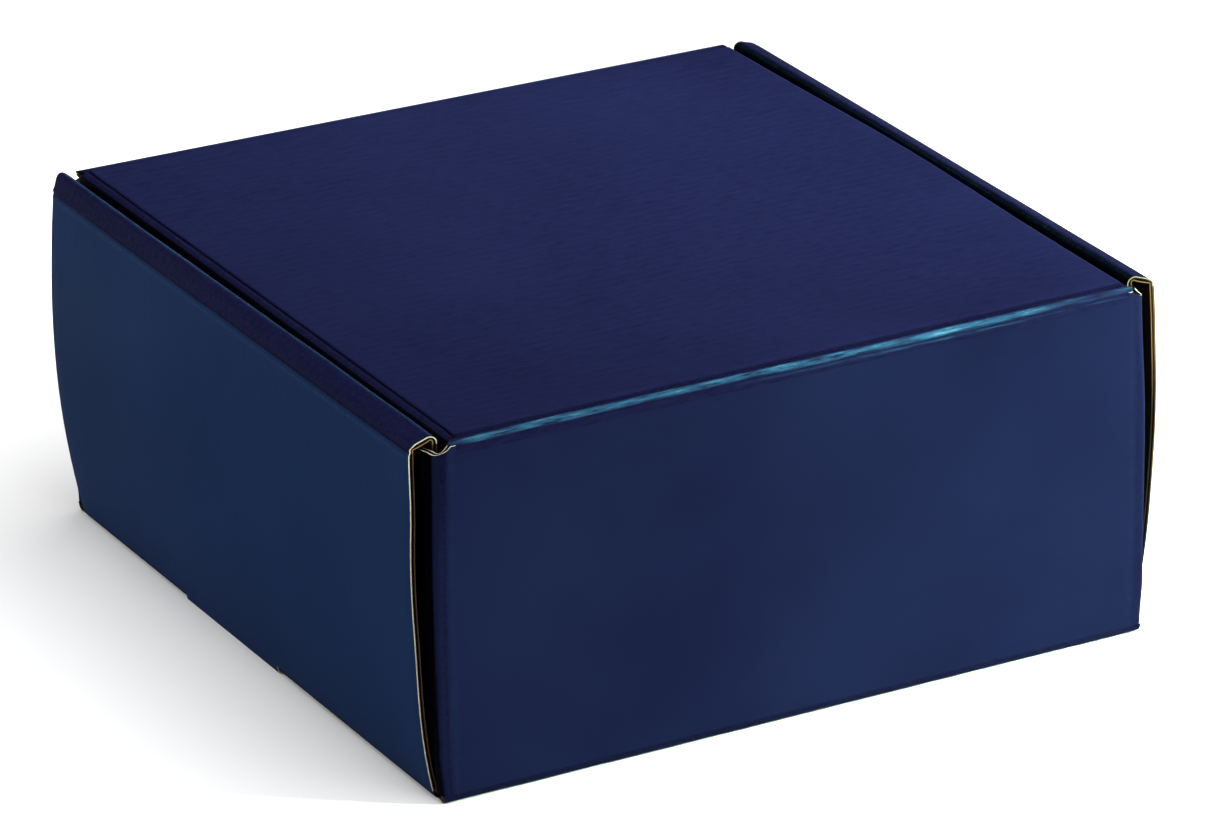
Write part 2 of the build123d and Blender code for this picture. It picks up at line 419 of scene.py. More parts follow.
FOLD_SHADE = rgb(12, 10, 34)
DEEP_SHADE = rgb(2, 2, 7)
# Pale cyan of worn print; on the hinge crease and the left roll's crest it also paints their highlights
WORN_FILM_AND_HIGHLIGHT = rgb(42, 82, 110)
WORN_FLAKE_AND_HIGHLIGHT = rgb(80, 122, 144)
SPECK = rgb(92, 62, 36)
# Painted shade, darker towards the bottom of the pockets
BOTTOM_SHADE = rgb(16, 10, 7)
BOTTOM_SHADE_FADE = 22 * MM
CLOUDS_AND_STREAKS = 0.6  # their share in the unevenness of the print


def print_material(name, dark, light, streak_scale, streak_share, ridge_share):
    """Satin navy print. Fine streaks may follow the flutes. Folds get painted shade, dark and mottled; worn
    places are pale, and the same pale marks paint highlights.

    A fold mark over 1 is the bottom of a score, painted black as deep shade."""
    material, tree, shader, place = new_material(name)
    clouds = noise(tree, place, 17.0, 4.0)
    streaks = noise(tree, place, streak_scale, 4.0, 0.6)
    grain = noise(tree, place, 2400.0, 2.0)
    mottle = noise(tree, place, 1300.0, 4.0, 0.7)
    scuffs_and_glints = noise(tree, place, (110.0, 1300.0, 1300.0), 5.0, 0.7)
    wear_and_highlight, fold = mark(tree, "wear_and_highlight"), mark(tree, "fold")
    ridges = calculate(tree, "MULTIPLY", mark(tree, "ridge"), noise(tree, place, (14.0, 60.0, 60.0)))
    streaked = calculate(tree, "MULTIPLY", streaks, streak_share)
    clouded = calculate(tree, "MULTIPLY", clouds, CLOUDS_AND_STREAKS - streak_share)
    shade = calculate(tree, "ADD", clouded, streaked)
    shade = calculate(tree, "ADD", shade, calculate(tree, "MULTIPLY", ridges, ridge_share))
    ink = mix(tree, remap(tree, shade, 0.2, 0.4), dark, light)
    # painted shade at folds, mottled, then black at the bottom of scores
    folded = calculate(tree, "MULTIPLY", remap(tree, fold, 0.0, 1.0), remap(tree, mottle, 0.4, 0.6, 0.2, 1.0))
    ink = mix(tree, folded, ink, FOLD_SHADE)
    ink = mix(tree, remap(tree, fold, 1.0, BLACK), ink, DEEP_SHADE)
    # Worn print, pale in film and flakes, which also paints highlights along bends and crests
    film = calculate(tree, "MULTIPLY", wear_and_highlight, remap(tree, scuffs_and_glints, 0.36, 0.56))
    flakes = calculate(tree, "MULTIPLY", wear_and_highlight, remap(tree, scuffs_and_glints, 0.58, 0.68))
    ink = mix(tree, film, ink, WORN_FILM_AND_HIGHLIGHT)
    tree.links.new(mix(tree, flakes, ink, WORN_FLAKE_AND_HIGHLIGHT), shader.inputs["Base Color"])
    satin = remap(tree, grain, 0.3, 0.7, 0.34, 0.48)
    matt = calculate(tree, "MULTIPLY", folded, 0.2)
    tree.links.new(calculate(tree, "ADD", satin, matt), shader.inputs["Roughness"])
    shader.inputs["Specular IOR Level"].default_value = 0.004
    shader.inputs["Specular Tint"].default_value = (0.35, 0.7, 1.0, 1)
    relief = bump(tree, grain, 0.00002, 0.5)
    dents = calculate(tree, "MULTIPLY", mottle, fold)
    tree.links.new(bump(tree, dents, 0.0003, 0.6, relief), shader.inputs["Normal"])
    return material


def paper_material(name, light, dark, lowest=None):
    """Unprinted paper with fibres and specks. Below the height lowest it darkens towards the bottom with
    painted shade.
    """
    material, tree, shader, place = new_material(name)
    fibres = noise(tree, place, (600.0, 1900.0, 1900.0), 5.0, 0.65)
    clouds = noise(tree, place, 60.0, 4.0)
    specks = noise(tree, place, 1500.0, 1.0)
    fibrous = calculate(tree, "MULTIPLY", fibres, 0.6)
    shade = calculate(tree, "ADD", fibrous, calculate(tree, "MULTIPLY", clouds, 0.4))
    paper = mix(tree, remap(tree, shade, 0.36, 0.64), dark, light)
    paper = mix(tree, remap(tree, specks, 0.66, 0.72, 0.0, 0.5), paper, SPECK)
    if lowest is not None:
        # painted shade, darker towards the bottom
        height = add_node(tree, "ShaderNodeSeparateXYZ", [(0, place)]).outputs[2]
        paper = mix(tree, remap(tree, height, lowest, lowest + BOTTOM_SHADE_FADE), BOTTOM_SHADE, paper)
    tree.links.new(paper, shader.inputs["Base Color"])
    tree.links.new(remap(tree, fibres, 0.3, 0.7, 0.8, 0.94), shader.inputs["Roughness"])
    shader.inputs["Specular IOR Level"].default_value = 0.2
    tree.links.new(bump(tree, fibres, 0.00005, 0.6), shader.inputs["Normal"])
    return material


ALONG_X = (260.0, 1000.0, 1000.0)  # scale of streaks that run along X
ALONG_Z = (1200.0, 1200.0, 40.0)
# The lid, end walls and side walls share one navy print; these copies are tinted and brightened as each face
# looks under the light, which is painted light and reflection
print_lid_lit_tone = print_material("print_lid_lit_tone", rgb(14, 15, 40), rgb(23, 25, 56), ALONG_X, 0.42, 0.05)
print_end_lit_tone = print_material("print_end_lit_tone", rgb(18, 22, 50), rgb(22, 28, 58), ALONG_X, 0.05, 0.01)
print_side_lit_tone = print_material("print_side_lit_tone", rgb(13, 30, 59), rgb(17, 36, 69), ALONG_Z, 0.15, 0.03)
# A near-black copy of the print for the pockets: painted shade
shaded_print = print_material("shaded_print", rgb(2, 2, 7), rgb(4, 5, 12), ALONG_X, 0.05, 0.01)
kraft = paper_material("kraft_liner", rgb(160, 120, 80), rgb(126, 92, 58))
white_edge = paper_material("white_liner_edge", rgb(222, 218, 194), rgb(178, 168, 136))
# Below, the shaded and darker copies of papers are painted shade, and the two cut-edge papers darken towards
# the bottom with painted shade
shaded_white_edge = paper_material("white_liner_edge_shaded", rgb(150, 140, 112), rgb(118, 106, 80))
kraft_edge = paper_material("kraft_liner_edge", rgb(196, 158, 112), rgb(140, 104, 68))
fluting = paper_material("fluting", rgb(70, 48, 30), rgb(42, 28, 17))
shaded_kraft = paper_material("kraft_liner_shaded", rgb(34, 23, 14), rgb(20, 13, 8))
shaded_kraft_edge = paper_material("kraft_liner_edge_shaded", rgb(84, 60, 46), rgb(50, 34, 26))
shaded_fluting = paper_material("fluting_shaded", rgb(20, 13, 9), rgb(10, 6, 4))
tan_edge = paper_material("cut_edge_tan", rgb(120, 90, 56), rgb(96, 68, 42), 24 * MM)
brown_edge = paper_material("cut_edge_brown", rgb(112, 84, 52), rgb(88, 62, 38), 58 * MM)
shaded_roll_edge = paper_material("kraft_liner_edge_painted_shade", rgb(150, 112, 76), rgb(100, 72, 46))

# The papers of a board: its kraft side, the cut edges of its printed and kraft liners, and its fluting
papers = (kraft, white_edge, kraft_edge, fluting)
# The base's cut edges are all shaded fluting: painted shade under the carton
base_papers = (kraft, shaded_fluting, shaded_fluting, shaded_fluting)
# Shaded copies of the papers, as painted shade for boards in pockets, gaps and inside the lid's crease
shaded_papers = (shaded_kraft, shaded_kraft_edge, shaded_kraft_edge, shaded_fluting)
# Shaded kraft and fluting in the hinge wall's corners are painted shade, and their kraft liner's cut edge
# takes the white edge's colour, a painted highlight
corner_papers = (shaded_kraft, white_edge, white_edge, shaded_fluting)
# Each side's cut edges are coloured as they look under the light: the left's kraft and fluting are shaded
# copies, the right's edges darken towards the bottom, all painted shade
pocket_papers = {
    "left": (shaded_kraft, white_edge, shaded_kraft_edge, shaded_fluting),
    "right": (shaded_kraft, tan_edge, brown_edge, brown_edge),
}
# The rolls' ends likewise use shaded and darker copies as painted shade
roll_papers = {
    "left": (shaded_kraft, white_edge, shaded_roll_edge, shaded_fluting),
    "right": (shaded_kraft, shaded_white_edge, brown_edge, shaded_fluting),
}


def make_piece(name, pile, inks, mirrored, inside):
    """An object of the gathered shells, with its print and its papers inside. It has yet to ride on a body or
    be baked in place.
    """
    made = bpy.data.objects.new(name, pile.mesh(name, mirrored))
    bpy.context.scene.collection.objects.link(made)
    for material in (inks,) + inside:
        made.data.materials.append(material)
    return made


def rigid(name, pile, inks, body, nodes, mirrored=False, inside=papers):
    """A piece that rides on one body and stands for CAD nodes."""
    made = make_piece(name, pile, inks, mirrored, inside)
    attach(made, body)
    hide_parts(*nodes)


def bending(
    name, pile, inks, nodes, mirrored=False, inside=papers
):
    """A crease's strip, baked in place where it lies at rest."""
    made = make_piece(name, pile, inks, mirrored, inside)
    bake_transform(made)
    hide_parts(*nodes)


# Tray: base ---------------------------------------------------------------------------------------------
FOOT_CRUSH = 0.28  # share of its thickness that a base crease loses near its end, where the wall starts
FOOT_SHADE = 0.8  # fold mark along the walls' feet: painted shade in the base's creases
END_FLARE = 0.8 * MM  # the base's end creases widen this much on each side, up to the walls' corners
END_INSET = 1.3 * MM  # they start this far inside the corners

wall_arc = arc((FOOT_X, BOARD), BELLY, SHOULDER)
outer_path = Path(wall_arc)
outer_z = outer_path.points[:, 1]
OUTER_FOOT = float(np.interp(FOOT, outer_z, outer_path.distance))  # distance along the wall at its foot


def foot_crush(s, length):
    """Share of thickness that is left at the end of a base crease."""
    return 1 - FOOT_CRUSH * hump(s - 0.75 * length, 1.0 * MM)


def make_base():
    pile = Pile(CALM * WASHBOARD)
    middle = BOARD / 2
    foot = np.array(outer_path.at(OUTER_FOOT))
    lean = foot - outer_path.at(OUTER_FOOT - 0.5 * MM)
    corner = foot - lean / lean[1] * (foot[1] - middle)
    side_path = Path(rounded([(SLOT_INNER, middle), corner, foot], CREASE_RADIUS))
    end_path = Path(rounded([(SIDE_END, middle), (MID_Y, middle), (MID_Y, FOOT)], CREASE_RADIUS))
    pile.board(
        lambda y, x: vec(x, y, middle),
        fluted(-SIDE_END, SIDE_END),
        samples(-SLOT_INNER, SLOT_INNER, 14 * MM),
        lambda y, x: y,
    )
    for _, end in ENDS:

        def end_crease(s, x):
            y, z = end_path.at(s)
            flare = 1 + END_FLARE / HALF_W * ease(s / end_path.length)
            return vec(-end * x * flare, -end * y, z)

        pile.board(
            end_crease,
            samples(0, end_path.length, CREASE_STEP),
            samples(HALF_W - END_INSET, END_INSET - HALF_W, 10 * MM),
            lambda s, x: SIDE_END + s,
            crush=lambda s, x: foot_crush(s, end_path.length),
            fold=lambda s, x: FOOT_SHADE * ramp(s, 3.5 * MM, 4.5 * MM),
            seams=(1, 3),
        )
    for _, sign in SIDES:

        def side_crease(y, s):
            x, z = side_path.at(s)
            return vec(sign * x, sign * y, z)

        for start, end in ((-SIDE_END, tab_low.y - SLOT_CLEAR), (tab_high.y + SLOT_CLEAR, SIDE_END)):
            pile.board(
                side_crease,
                fluted(sign * start, sign * end)[::sign],
                samples(0, side_path.length, CREASE_STEP),
                lambda y, s: y,
                crush=lambda y, s: foot_crush(s, side_path.length),
                fold=lambda y, s: FOOT_SHADE * ramp(s, 2 * MM, 3 * MM),
            )
    return pile


rigid("base_board", make_base(), print_end_lit_tone, "tray", ["base_panel"], inside=base_papers)

# Tray: end walls, their corner creases and dust flaps ---------------------------------------------------
STRIP_FOOT = LID_MID - BOARD / 2 - STRIP  # where the hinge crease's strip takes over from the wall
WALL_DENT = 0.2 * MM  # how uneven the end walls are
STUB_END = 6.6 * MM  # the corner piece ends and the dust flap starts at this distance from the crease's end
DUST_REACH = 54 * MM
TOP_DROP = 1.4 * MM  # the corners' cut top edge lies this far below the wall's
DIP_START, DIP = 1.5 * MM, 5.8 * MM  # it comes down to there between these distances from the crease's end
CORNER_HIGH = {"rear": LID_UNDER + 0.2 * MM, "front": WALL_TOP}  # its height before that
CORNER_RADIUS, CORNER_OPENS = 1.1 * MM, 1.5 * MM  # of the corner's bend at its foot, and how much it grows
OPENS_FROM = 60 * MM  # it grows from this height up to the wall's top
FLAP_LEAN = 1.3 * MM  # how far a dust flap leans outwards near its top, just behind the corner
CORNER_SWELL = 0.7 * MM  # the corner stands out this far above its foot
CORNER_PINCH = 0.9 * MM  # and draws in this much again towards its top


def end_wall(x, z):
    inside = inland(14 * MM, LID_HALF - abs(x), z - FOOT, STRIP_FOOT - z)
    return vec(x, -MID_Y + WALL_DENT * (1 - wobble(x, z, 1, 120 * MM)) * inside, z)


def corner_top(s, end):
    """Height of a corner's cut top edge, which curves down from the top of the piece beside it."""
    low = WALL_TOP - TOP_DROP
    return low + (CORNER_HIGH[end] - low) * np.clip((DIP - s) / (DIP - DIP_START), 0, 1) ** 2


def corner(s, z):
    """Right-hand corner of the hinge wall: along the wall from the lid crease's end, round and into the side.

    Its dust flap leans outwards near the top, where the roll leaves room."""
    edge = HALF_W - BOARD / 2
    radius = CORNER_RADIUS + CORNER_OPENS * ramp(z, OPENS_FROM, WALL_TOP)
    straight = edge - radius - LID_HALF
    bend = radius * math.pi / 2
    turn = np.clip((s - straight) / radius, 0, math.pi / 2)
    x = np.where(s < straight, LID_HALF + s, edge - radius + radius * np.sin(turn))
    back = np.maximum(s - straight - bend, 0)
    lean = FLAP_LEAN * ramp(z, 72 * MM, 90 * MM) * ramp(back, 0, 6 * MM) * ramp(back, 22 * MM, 8 * MM)
    swell = CORNER_SWELL * ramp(z, FOOT, FOOT + 12 * MM) - CORNER_PINCH * ramp(z, 50 * MM, 95 * MM)
    return vec(x + lean + swell * ramp(s, 0, 3 * MM), -MID_Y + radius * (1 - np.cos(turn)) + back, z)


def make_corner(end, place):
    """A corner crease. place is the surface of the corner that it lies on."""
    pile = Pile(CALM * WASHBOARD)
    rise = WALL_TOP - FOOT

    def up(s, share):
        return FOOT + share * (corner_top(s, end) - FOOT) / rise

    def fold(s, share):
        """Painted shade: a dark crease, then black where the print turns into the pocket, further back near
        the top.
        """
        black_from = 4.1 * MM + 1.1 * MM * share / rise
        return 0.7 * hump(s - 3.2 * MM, 1.0 * MM) + BLACK * ramp(s, black_from, black_from + 0.6 * MM)

    pile.board(
        lambda s, share: place(s, up(s, share)),
        samples(0, STUB_END, 0.35 * MM),
        fluted(0, rise),
        lambda s, share: FOOT + share,
        crush=lambda s, share: 1 - 0.15 * hump(s - 3.8 * MM, 0.7 * MM),
        fold=fold,
        wear_and_highlight=lambda s, share: 0.03 * hump(s - 1.3 * MM, 0.6 * MM),
        relief=lambda s, share: -0.09 * MM * hump(s - 3.4 * MM, 0.4 * MM),
        seams=(0, 1, 3),
    )
    return pile


def make_dust_flap(end, place):
    """A dust flap. Its foot is cut free of the base just behind the corner."""
    pile = Pile(CALM * WASHBOARD)
    length = DUST_REACH - STUB_END

    def sheet(t, share):
        cut = corner_cut(length - t, DUST_CORNER)
        low = dust_low.z + cut
        return place(STUB_END + t, low + share * (corner_top(STUB_END + t, end) - cut - low))

    height = WALL_TOP - dust_low.z
    spread = length * (1 - np.cos(np.linspace(0, math.pi, 30))) / 2
    pile.board(sheet, spread, fluted(0, height) / height, lambda t, share: share * height, seams=(3,))
    return pile


for end, facing in ENDS:
    wall_top = STRIP_FOOT if end == "rear" else WALL_TOP
    wall = Pile(CALM * WASHBOARD)
    wall.board(
        end_wall if end == "rear" else turned(end_wall),
        samples(-LID_HALF, LID_HALF, 9 * MM),
        fluted(FOOT, wall_top),
        lambda x, z: z,
        seams=(0, 1, 2, 3) if end == "rear" else (0, 1, 3),
    )
    rigid(f"{end}_wall_board", wall, print_end_lit_tone, "tray", [f"{end}_wall"])
    place = corner if end == "rear" else turned(corner)
    edges = corner_papers if end == "rear" else shaded_papers
    for side, sign in SIDES:
        mirrored = sign * facing < 0
        node = f"{end}_corner_crease_{side}"
        bend = make_corner(end, place)
        rigid(f"{node}_board", bend, print_end_lit_tone, "tray", [node], mirrored=mirrored, inside=edges)
        node = f"{end}_dust_flap_{side}"
        flap = make_dust_flap(end, place)
        # the dust flaps take the near-black painted shade of the pockets
        rigid(f"{node}_board", flap, shaded_print, "tray", [node], mirrored, edges)

# Tray: side walls, rolls, inner walls and lock tabs -----------------------------------------------------
roll_lead = np.array(outer_path.at(outer_path.length)) - outer_path.at(outer_path.length - MM)
roll_start = np.array(SHOULDER) + roll_lead / np.linalg.norm(roll_lead) * SHOULDER_RISE
side_path = Path(wall_arc + rounded([SHOULDER, roll_start, CREST, (INNER_FOOT_X, BOARD)], ROLL_RADIUS))
inner_slant = math.hypot(1, (CREST[0] - INNER_FOOT_X) / (CREST[1] - BOARD))  # path length per unit of height
ROLL_FROM = outer_path.length
ROLL_TO = float(side_path.length - (SHOULDER_Z - BOARD) * inner_slant)
ROLL_CREST = (ROLL_FROM + ROLL_TO) / 2 + 1.6 * MM  # the crest lies past the middle of the roll
ROLL_END = ROLL_CREST + 2.2 * MM  # the roll's piece ends just inside its crest, and the inner wall's starts
TAB_TOP = ROLL_TO + SHOULDER_Z - tab_high.z  # along the path, where the inner wall ends and its tab starts
TAB_CLEAR = 0.6 * MM  # gap between the inner wall's foot and its tab, at each side
TAB_CORNER = 4 * MM

# What is uneven about the two side walls
SAG = {"left": (2.0 * MM, 0), "right": (1.8 * MM, 1.8 * MM)}  # how low the rolls lie, rear and front
FAR_DROOP = 0.4 * MM  # the right roll lies this much lower at its front end
SLACK = {"left": 2.1 * MM, "right": 0.8 * MM}  # the walls bow this much less beside the hinge wall
DRIFT = {"left": 3.8 * MM, "right": 0}  # the rolls lie this much further out at the tuck front
WALL_UNEVEN = 0.25 * MM
LID_BOW = 2.0 * MM  # of the lid's right edge, and the inner wall beside it
RUB_AND_HIGHLIGHT = {"left": 0.6, "right": 0.08}  # worn print along the rolls, and on the left roll's crest a painted highlight
ROLL_SHADE = {"left": 0.7, "right": 1.0}  # how dark and mottled the rolls' painted shade is
BLACK_FROM = {"left": 0.2 * MM, "right": -0.7 * MM}  # painted shade is black from this far beyond the crest


def lid_bow(y):
    """How far the lid's right edge bows outwards."""
    return LID_BOW * hump(y - 10 * MM, 57 * MM)


def side_wall(side):
    """The surface of a side wall, from its foot over the roll and down inside, on the right-hand side."""

    def surface(y, s):
        x, z = side_path.at(s)
        along = ramp(y, -SIDE_END, SIDE_END)
        body = ramp(s, 0, 45 * MM) * ramp(s, ROLL_CREST, ROLL_CREST - 28 * MM)
        on_roll = hump(s - ROLL_CREST, 5 * MM)
        slack = SLACK[side] * ramp(y, 40 * MM, -90 * MM) + WALL_UNEVEN * abs(wobble(y, s, 3, 150 * MM))
        drift = DRIFT[side] * along * on_roll
        near, far = SAG[side]
        droop = near + (far - near) * along + WALL_UNEVEN * abs(wobble(y, 0, 5, 90 * MM)) * (1 - along)
        if side == "right":
            droop = droop + FAR_DROOP * ramp(y, 50 * MM, 96 * MM)
            beside_lid = ramp(s, ROLL_CREST, ROLL_CREST + 2 * MM) * ramp(s, ROLL_TO + 25 * MM, ROLL_TO)
            drift = drift + lid_bow(y) * beside_lid
        return vec(x - slack * body + drift, y, z - droop * on_roll)

    return surface


def shoulder_fold(s):
    """Mark of the fold where the outer wall turns into the roll."""
    return hump(s - ROLL_FROM - 1.4 * MM, 0.9 * MM)


def side_crush(y, s):
    """Share of thickness left: creased at the roll's two folds, and pressed by the die along the cut ends."""
    folded = 1 - 0.3 * shoulder_fold(s) - 0.22 * hump(s - ROLL_CREST, 1.2 * MM)
    return folded * (1 - 0.15 * hump(SIDE_END - abs(y), 2 * MM))


def side_fold(side, s):
    """Painted shade: a black score at the roll's shoulder, a dark mottled roll, and black where it turns down
    beside the lid.
    """
    score = hump(s - ROLL_FROM - 0.1 * MM, 0.3 * MM)
    roll = ROLL_SHADE[side] * ramp(s, ROLL_FROM, ROLL_FROM + 0.3 * MM)
    black_from = ROLL_CREST + BLACK_FROM[side]
    black = 0.9 * ramp(s, black_from, black_from + 0.5 * MM)
    return score + (roll + black) * ramp(s, ROLL_TO + 3 * MM, ROLL_TO + 1 * MM)


def side_wear_and_highlight(side, s):
    """The print is rubbed along the roll's crest, which also stands for the crest's painted highlight, and a
    little on the wall just below its shoulder.
    """
    return RUB_AND_HIGHLIGHT[side] * hump(s - ROLL_CREST, 0.25 * MM) + 0.15 * hump(s - ROLL_FROM + 1.6 * MM, 0.4 * MM)


def make_side(side, v, seams):
    """A stretch of a side wall's board, at the distances v along its path."""
    pile = Pile(CALM * WASHBOARD)
    pile.board(
        side_wall(side),
        fluted(-SIDE_END, SIDE_END),
        v,
        lambda y, s: y,
        crush=side_crush,
        fold=lambda y, s: side_fold(side, s),
        wear_and_highlight=lambda y, s: side_wear_and_highlight(side, s),
        relief=lambda y, s: -0.3 * MM * hump(s - ROLL_FROM - 0.2 * MM, 0.5 * MM),
        seams=seams,
    )
    return pile


def make_tab():
    """A lock tab, which slants from the inner wall's foot through its slot in the base."""
    pile = Pile(CALM * WASHBOARD)
    depth = tab_high.z - tab_low.z
    middle, half = (tab_high.y + tab_low.y) / 2, (tab_high.y - tab_low.y) / 2

    def sheet(y, s):
        x, z = side_path.at(TAB_TOP)
        cut = corner_cut(depth - s, TAB_CORNER)
        return vec(x + TAB_SHIFT * s / depth, middle + (y - middle) * (half - cut) / half, z - s)

    pile.board(sheet, fluted(tab_low.y, tab_high.y), samples(0, depth, 0.5 * MM), lambda y, s: y)
    return pile


for side, sign in SIDES:
    on_left = sign < 0
    rows = joined((OUTER_FOOT, 5 * MM), (ROLL_FROM - 3 * MM, 0.5 * MM), (ROLL_FROM,))
    outer = make_side(side, rows, (0, 2))
    outer.board(
        side_wall(side),
        fluted(tab_low.y, tab_high.y),
        samples(tab_low.z - BOARD, OUTER_FOOT, 0.6 * MM),
        lambda y, s: y,
        seams=(2,),
    )
    node = f"side_outer_wall_{side}"
    rigid(f"{node}_board", outer, print_side_lit_tone, "tray", [node], mirrored=on_left, inside=pocket_papers[side])

    roll = make_side(side, joined((ROLL_FROM, 0.2 * MM), (ROLL_FROM + MM, 0.4 * MM), (ROLL_END,)), (0, 2))
    node = f"side_roll_{side}"
    rigid(f"{node}_board", roll, print_lid_lit_tone, "tray", [node], mirrored=on_left, inside=roll_papers[side])

    inner = make_side(side, joined((ROLL_END, 0.8 * MM), (ROLL_TO + 3 * MM, 9 * MM), (TAB_TOP,)), (0,))
    rows = samples(TAB_TOP, side_path.length, 2 * MM)
    for start, end in ((-SIDE_END, tab_low.y - TAB_CLEAR), (tab_high.y + TAB_CLEAR, SIDE_END)):
        inner.board(side_wall(side), fluted(start, end), rows, lambda y, s: y)
    node = f"side_inner_wall_{side}"
    rigid(f"{node}_board", inner, print_side_lit_tone, "tray", [node], mirrored=on_left, inside=shaded_papers)

    node = f"lock_tab_{side}"
    rigid(f"{node}_board", make_tab(), print_side_lit_tone, "tray", [node], mirrored=on_left)

# Lid ----------------------------------------------------------------------------------------------------
FLAT_HALF = LID_HALF - STRIP  # half width of the lid's panel between its crease strips
FLAT_REAR = HINGE.y + HINGE_REACH
FLAT_FRONT = LID_FRONT - STRIP
SIDE_START = HINGE.y + 1.3 * MM  # the lid's side creases start this near to the hinge line
LID_DENT = 0.2 * MM  # how uneven the lid is
SKEW = 0.019  # of the lid's front edge, which was not folded quite square
LID_SHIFT = 1.0 * MM  # that edge lies this far to the left
LID_LIFT = 0.7 * MM  # and this much higher, where the tuck flap pushes back
SCORE_IN = 1.2 * MM  # the left side crease's score lies this far inside the lid's edge


def lid_relief(x, y):
    """Height of the lid's print: pressed down along the left side crease and behind the hinge crease."""
    side = np.where(x < 0, -0.32 * MM, 0) * hump(abs(x) - LID_HALF + SCORE_IN, 0.45 * MM)
    rear = -0.28 * MM * hump(y - HINGE.y - 3.2 * MM, 1.5 * MM)
    return side + rear * ramp(abs(x), LID_HALF + 1 * MM, LID_HALF - 2 * MM)


def lid_fold(x, y):
    """Painted shade at the lid's creases: a black score and mottled ridge on the left, black outer edges, and
    a dark band behind the hinge crease.
    """
    beyond = abs(x) - LID_HALF
    score = 1.7 * hump(beyond + SCORE_IN, 0.5 * MM) + 0.75 * ramp(beyond, -SCORE_IN, 0.4 * MM - SCORE_IN)
    edge = np.where(x < 0, 0.5 * MM, 0.5 * MM + 0.2 * lid_bow(y))
    side = np.where(x < 0, score, 0) + BLACK * ease((beyond - edge) / (0.5 * MM))
    rear = 1.1 * ramp(y, HINGE.y + 3.8 * MM, HINGE.y + 2.9 * MM)
    return np.maximum(side, rear)


def on_lid(x, y, z):
    """A point of the closed lid, moved to where the lid really lies."""
    along = ease(y / LID_FRONT)
    askew = SKEW * x * np.clip((y - HINGE.y) / (LID_FRONT - HINGE.y), 0, 1)
    return vec(x - LID_SHIFT * along, y - askew, z + LID_LIFT * along)


def lid_sheet(x, y):
    """The lid's middle surface, a little uneven away from its creases."""
    inside = inland(20 * MM, FLAT_HALF - abs(x), y - FLAT_REAR, FLAT_FRONT - y)
    return on_lid(x, y, LID_MID + LID_DENT * (wobble(x, y, 2, 130 * MM) - 1) * inside)


panel = Pile()
panel.board(
    lid_sheet,
    samples(-FLAT_HALF, FLAT_HALF, 11 * MM),
    fluted(FLAT_REAR, FLAT_FRONT),
    lambda x, y: y,
    fold=lid_fold,
    relief=lid_relief,
    seams=(0, 1, 2, 3),
)
rigid("lid_board", panel, print_lid_lit_tone, "lid", ["lid_panel"])

# Hinge crease
hinge_path = Path(rounded([(HINGE.y, STRIP_FOOT), (HINGE.y, HINGE.z), (FLAT_REAR, HINGE.z)], 1.0 * MM))
HINGE_BEND = HINGE.z - STRIP_FOOT - 0.2 * MM  # distance along the strip at the middle of its bend
BEND_REACH = 1.6 * MM  # the bend stands out this far at each end


def hinge_half(s):
    """Half width of the strip: at its foot the hinge wall's, then the lid's between its side creases."""
    past = s - HINGE_BEND
    return LID_HALF - STRIP * ramp(past, 0.2 * MM, 1.4 * MM) + BEND_REACH * hump(past, 1.3 * MM)


def hinge_strip(x, s):
    y, z = hinge_path.at(s)
    jitter = 0.07 * MM * wobble(x, s, 7, 9 * MM) * hump(s - HINGE_BEND, 1.2 * MM)
    return vec(x * hinge_half(s) / LID_HALF, y - jitter, z + jitter)


def on_lid_side(s):
    """0 on the hinge wall's side of the bend and 1 on the lid's."""
    return ramp(s, HINGE_BEND, HINGE_BEND + MM)


def hinge_wear_and_highlight(x, s):
    """A painted highlight on worn print: a crisp pale line along the bend, over a fainter one. Both fade at
    the right end.
    """
    across = s - HINGE_BEND - 0.15 * MM * wobble(x, 0, 9, 60 * MM)
    width = (0.5 + 0.12 * wobble(x, 0, 4, 33 * MM)) * MM * ramp(x, -LID_HALF - 3 * MM, 9 * MM - LID_HALF)
    main = ease((width - abs(across)) / (0.3 * MM) + 0.5)
    faint = 0.55 * hump(across + 1.3 * MM, 0.25 * MM) * ramp(x, -30 * MM, 20 * MM)
    return (main + faint) * (1 - 0.8 * ramp(x, 50 * MM, 78 * MM))


strip = Pile()
strip.board(
    hinge_strip,
    samples(-LID_HALF, LID_HALF, 1.3 * MM),
    samples(0, hinge_path.length, FINE_STEP),
    lambda x, s: s + STRIP_FOOT,
    crush=lambda x, s: 1 - 0.32 * hump(s - HINGE_BEND, 1.3 * MM),
    # painted shade behind the bend, as on the lid
    fold=lambda x, s: lid_fold(0 * x, hinge_path.at(s)[0]) * on_lid_side(s),
    wear_and_highlight=hinge_wear_and_highlight,
    relief=lambda x, s: lid_relief(x * hinge_half(s) / LID_HALF, hinge_path.at(s)[0]) * on_lid_side(s),
    seams=(0, 1, 2, 3),
)
node = "lid_hinge_crease"
bending(f"{node}_board", strip, print_lid_lit_tone, [node])

# Lid's side creases and flaps
DROP_X = LID_HALF + BOARD / 2
FLAP_TOP = LID_UNDER - STRIP
drop_path = Path(rounded([(FLAT_HALF, LID_MID), (DROP_X, LID_MID), (DROP_X, FLAP_TOP)], CREASE_RADIUS))
DROP_BEND = drop_path.length / 2


def side_bow(sign, y):
    """How far a side edge of the lid bows outwards. Only the right one does."""
    return lid_bow(y) if sign > 0 else 0


